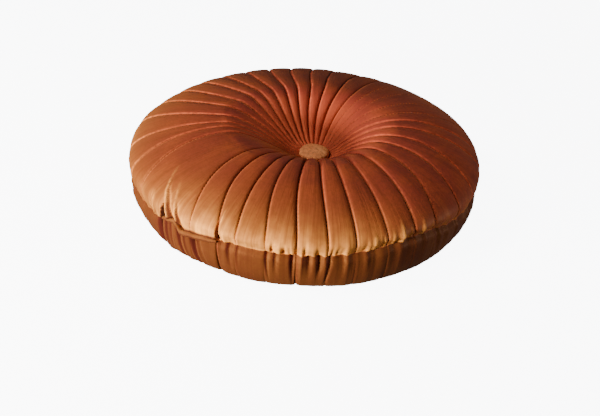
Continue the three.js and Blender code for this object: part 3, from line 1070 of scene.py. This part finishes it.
def velvet(name, base, light, gloss, sheen):
    """Short-pile velvet: lighter patches, radial streaks, painted shade and highlights, and a
    gold-tinted gloss and sheen.
    """
    material, tree, shader = new_material(name)
    place = tree.nodes.new("ShaderNodeTexCoord").outputs["Object"]
    grain = attribute(tree, "grain").outputs["Vector"]
    patches = noise(tree, place, *PATCHES)
    streaks = noise(tree, grain, *STREAKS)
    bands = noise(tree, grain, *BANDS)
    color = pile_color_and_painted_light(tree, place, patches, streaks, bands, base, light)
    tree.links.new(color, shader.inputs["Base Color"])
    tree.links.new(ranged(tree, patches, 0.3, 0.7, 0.42, 0.56), shader.inputs["Roughness"])
    soft = bump(tree, streaks, 0.5, 0.0006)
    pile = bump(tree, noise(tree, place, *FIBRES), 0.3, 0.0002)
    tree.links.new(soft.outputs["Normal"], pile.inputs["Normal"])
    tree.links.new(pile.outputs["Normal"], shader.inputs["Normal"])
    shader.inputs["IOR"].default_value = 1.5
    shader.inputs["Specular IOR Level"].default_value = gloss
    shader.inputs["Specular Tint"].default_value = (*GLOSS_TINT, 1)
    shader.inputs["Sheen Weight"].default_value = sheen
    shader.inputs["Sheen Roughness"].default_value = 0.5
    shader.inputs["Sheen Tint"].default_value = (*GLOSS_TINT, 1)
    return material


def thread_material():
    material, tree, shader = new_material("thread")
    shader.inputs["Base Color"].default_value = (0.32, 0.07, 0.02, 1)
    shader.inputs["Roughness"].default_value = 0.6
    shader.inputs["Specular IOR Level"].default_value = 0.2
    return material


def make_camera():
    distance = 0.9
    elevation = math.radians(31.8)
    roll = math.radians(3.2)
    aim_right = -0.0029
    aim_up = -0.02
    back = Vector((0, -math.cos(elevation), math.sin(elevation)))
    up = Vector((0, math.sin(elevation), math.cos(elevation)))
    right = Vector((1, 0, 0))
    rolled_right = math.cos(roll) * right + math.sin(roll) * up
    rolled_up = math.cos(roll) * up - math.sin(roll) * right
    aim = aim_right * rolled_right + aim_up * rolled_up
    place = distance * back
    away = (place - aim).normalized()
    x = rolled_right - away * rolled_right.dot(away)
    x.normalize()
    y = away.cross(x)
    data = bpy.data.cameras.new("camera")
    data.lens = 51.96
    data.sensor_width = 36
    camera = bpy.data.objects.new("camera", data)
    camera.matrix_world = Matrix.Translation(place) @ Matrix((x, y, away)).transposed().to_4x4()
    bpy.context.scene.collection.objects.link(camera)
    bpy.context.scene.camera = camera


def area_light(name, place, aim, size, watts, color):
    data = bpy.data.lights.new(name, "AREA")
    data.shape = "DISK"
    data.size = size
    data.energy = watts
    data.color = color
    light = bpy.data.objects.new(name, data)
    light.location = place
    light.rotation_euler = (Vector(aim) - Vector(place)).to_track_quat("-Z", "Y").to_euler()
    bpy.context.scene.collection.objects.link(light)


def make_floor():
    mesh = bpy.data.meshes.new("floor")
    half = 12
    corners = [(-half, -half, 0), (half, -half, 0), (half, half, 0), (-half, half, 0)]
    mesh.from_pydata([Vector(c) for c in corners], [], [(0, 1, 2, 3)])
    floor = bpy.data.objects.new("floor", mesh)
    material, tree, shader = new_material("floor_paper")
    shader.inputs["Base Color"].default_value = (0.86, 0.87, 0.88, 1)
    shader.inputs["Roughness"].default_value = 0.9
    shader.inputs["Emission Color"].default_value = (0.97, 0.98, 1, 1)
    shader.inputs["Emission Strength"].default_value = 8.8
    mesh.materials.append(material)
    floor.visible_diffuse = False
    floor.visible_glossy = False
    bpy.context.scene.collection.objects.link(floor)


def make_light():
    world = bpy.data.worlds.new("studio")
    world.use_nodes = True
    sky = world.node_tree.nodes["Background"]
    sky.inputs["Color"].default_value = (0.96, 0.97, 1, 1)
    sky.inputs["Strength"].default_value = 0.12
    bpy.context.scene.world = world
    area_light("low", (-1.18, -1.03, 0.25), (0, 0, 0.04), 0.35, 76, (1, 0.96, 0.88))
    area_light("key", (-1.03, -0.36, 1.2), (0, 0, 0.05), 0.45, 18, (1, 0.98, 0.95))
    area_light("fill", (1.5, -0.3, 0.1), (0, 0, 0.03), 0.8, 15, (1, 0.95, 0.9))


def make_cover():
    """The filled cushion's cover, its lower panel in a darker copy of the top's velvet, and the stitches
    along its pleats.
    """
    points, facts = close_ends(*cushion_points())
    facts["held"][:2] = facts["held"][-2:] = 1
    points = points + swell(points, facts)
    points[..., 2] = np.maximum(0, points[..., 2])
    cushion = grid_mesh("cushion_cover", points, facts)
    stitches = make_stitches(points, facts)
    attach(stitches, "root")
    stitches.data.materials.append(thread_material())
    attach(cushion, "root")
    cushion.data.materials.append(
        velvet("cover_velvet", (0.19, 0.026, 0.018), (0.27, 0.045, 0.019), 0.2, 0.1))
    # The lower panel's velvet is a darker, less glossy copy of the top's: painted shade of the wall
    # under the seam's overhang, together with its pile lying another way
    lower = velvet("lower_velvet", (0.08, 0.0215, 0.008), (0.128, 0.04, 0.012), 0.15, 0.05)
    cushion.data.materials.append(lower)
    paint_lower(cushion)
    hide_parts("cushion")
    return lower


def make_buttons():
    covered = velvet("button_velvet", (0.84, 0.28, 0.1), (0.92, 0.4, 0.15), 0.4, 0.2)
    for name, height, facing in (("button_top", TOP_SEAT_HEIGHT + TOUCH_GAP, 1),
                                 ("button_under", UNDER_SEAT_HEIGHT - TOUCH_GAP, -1)):
        button = grid_mesh(name + "_cover", *dome_points(height, facing))
        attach(button, "root")
        button.data.materials.append(covered)
        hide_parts(name)


def make_placket_edge(material):
    lip = capped_grid("placket_edge", lip_points())
    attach(lip, "root")
    lip.data.materials.append(material)
    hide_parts("placket_lip")


make_camera()
make_floor()
make_light()
lower_velvet = make_cover()
make_buttons()
make_placket_edge(lower_velvet)
